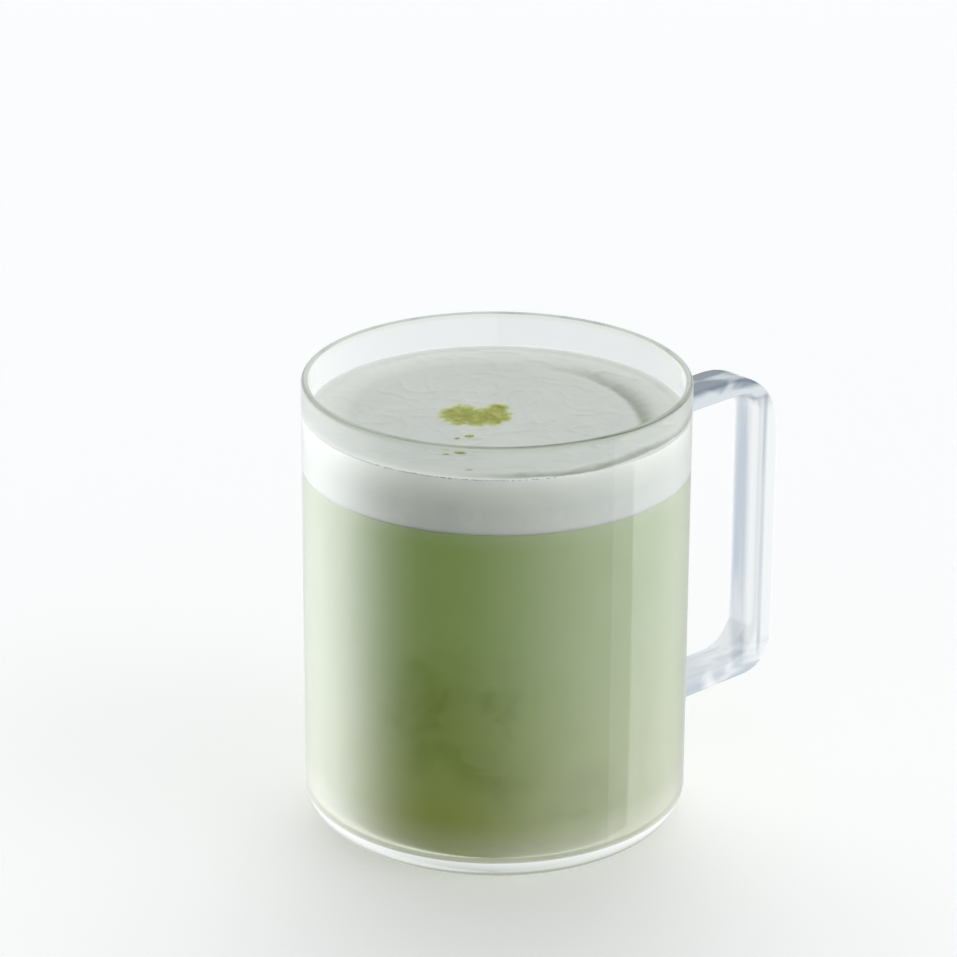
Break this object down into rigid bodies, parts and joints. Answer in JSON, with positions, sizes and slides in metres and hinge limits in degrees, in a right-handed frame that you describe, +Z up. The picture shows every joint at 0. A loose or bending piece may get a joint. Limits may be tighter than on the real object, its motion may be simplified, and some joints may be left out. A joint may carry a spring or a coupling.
{
  "type": "matcha latte in a glass mug",
  "caption": "Matcha latte in a straight clear glass mug with a strap handle: green milky drink under a layer of white milk foam.",
  "frame": {"origin": "middle of the mug's flat underside, on the axis of the round body", "axes": "+Z up along the mug's axis, +X from the axis towards the handle, +Y by the right-hand rule"},
  "size_m": [0.1302, 0.086, 0.103],
  "materials": {
    "glass": "clear, polished",
    "latte": "opaque milky green drink",
    "foam": "fine wet milk foam"
  },
  "bodies": {
    "root": {"mug": "glass", "latte": "latte", "foam": "foam"}
  },
  "joints": []
}
